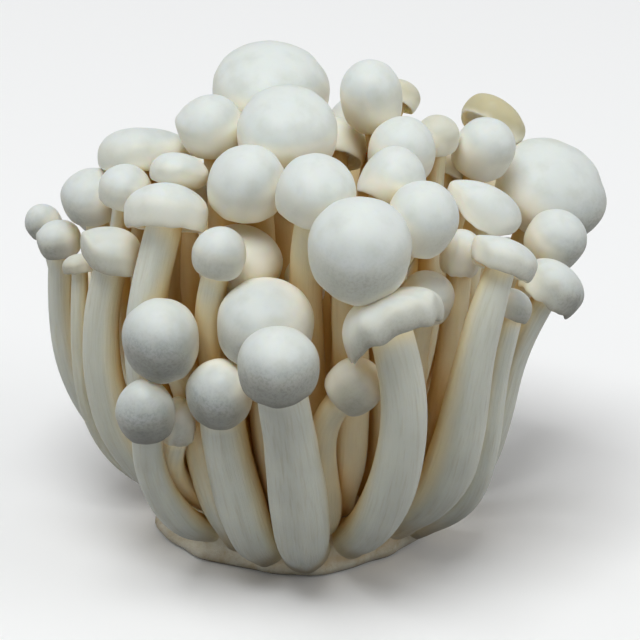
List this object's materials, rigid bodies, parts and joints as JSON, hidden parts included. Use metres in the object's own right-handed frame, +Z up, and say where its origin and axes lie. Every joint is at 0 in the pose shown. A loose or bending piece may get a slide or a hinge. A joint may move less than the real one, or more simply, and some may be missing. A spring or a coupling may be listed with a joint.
{
  "type": "white beech mushroom bunch",
  "caption": "Bunch of pale mushrooms with domed caps and thick curved stems, grown from one joined base and standing on its cut face.",
  "frame": {"origin": "middle of the flat cut face of the joined base, on the surface it stands on", "axes": "+Z up, -Y towards the side that the picture shows, +X to the right as seen from there"},
  "size_m": [0.1463, 0.141, 0.1223],
  "materials": {
    "flesh": "matt to satin, slightly translucent",
    "butt": "matt, rough"
  },
  "bodies": {
    "root": {"joined_base": "butt", "mushroom_crown_1": "flesh", "mushroom_crown_2": "flesh", "mushroom_crown_3": "flesh", "mushroom_crown_4": "flesh", "mushroom_crown_5": "flesh", "mushroom_crown_6": "flesh", "mushroom_crown_7": "flesh", "mushroom_crown_8": "flesh", "mushroom_crown_9": "flesh", "mushroom_left_1": "flesh", "mushroom_left_2": "flesh", "mushroom_left_3": "flesh", "mushroom_left_4": "flesh", "mushroom_left_5": "flesh", "mushroom_left_6": "flesh", "mushroom_left_7": "flesh", "mushroom_left_8": "flesh", "mushroom_left_9": "flesh", "mushroom_middle_1": "flesh", "mushroom_middle_2": "flesh", "mushroom_middle_3": "flesh", "mushroom_middle_4": "flesh", "mushroom_middle_5": "flesh", "mushroom_middle_6": "flesh", "mushroom_middle_7": "flesh", "mushroom_middle_8": "flesh", "mushroom_middle_9": "flesh", "mushroom_middle_10": "flesh", "mushroom_right_1": "flesh", "mushroom_right_2": "flesh", "mushroom_right_3": "flesh", "mushroom_right_4": "flesh", "mushroom_right_5": "flesh", "mushroom_right_6": "flesh", "mushroom_right_7": "flesh", "mushroom_front_1": "flesh", "mushroom_front_2": "flesh", "mushroom_front_3": "flesh", "mushroom_front_4": "flesh", "mushroom_front_5": "flesh", "mushroom_front_6": "flesh", "mushroom_front_7": "flesh", "mushroom_rear_top_1": "flesh", "mushroom_rear_top_2": "flesh", "mushroom_rear_top_3": "flesh", "mushroom_rear_top_4": "flesh", "mushroom_rear_low_1": "flesh", "mushroom_rear_low_2": "flesh", "mushroom_rear_low_3": "flesh", "mushroom_rear_low_4": "flesh", "mushroom_rear_low_5": "flesh", "mushroom_rear_low_6": "flesh", "mushroom_rear_high_1": "flesh", "mushroom_rear_high_2": "flesh", "mushroom_rear_high_3": "flesh", "mushroom_rear_high_4": "flesh", "mushroom_rear_high_5": "flesh", "mushroom_rear_crown_1": "flesh", "mushroom_rear_crown_2": "flesh"}
  },
  "joints": []
}
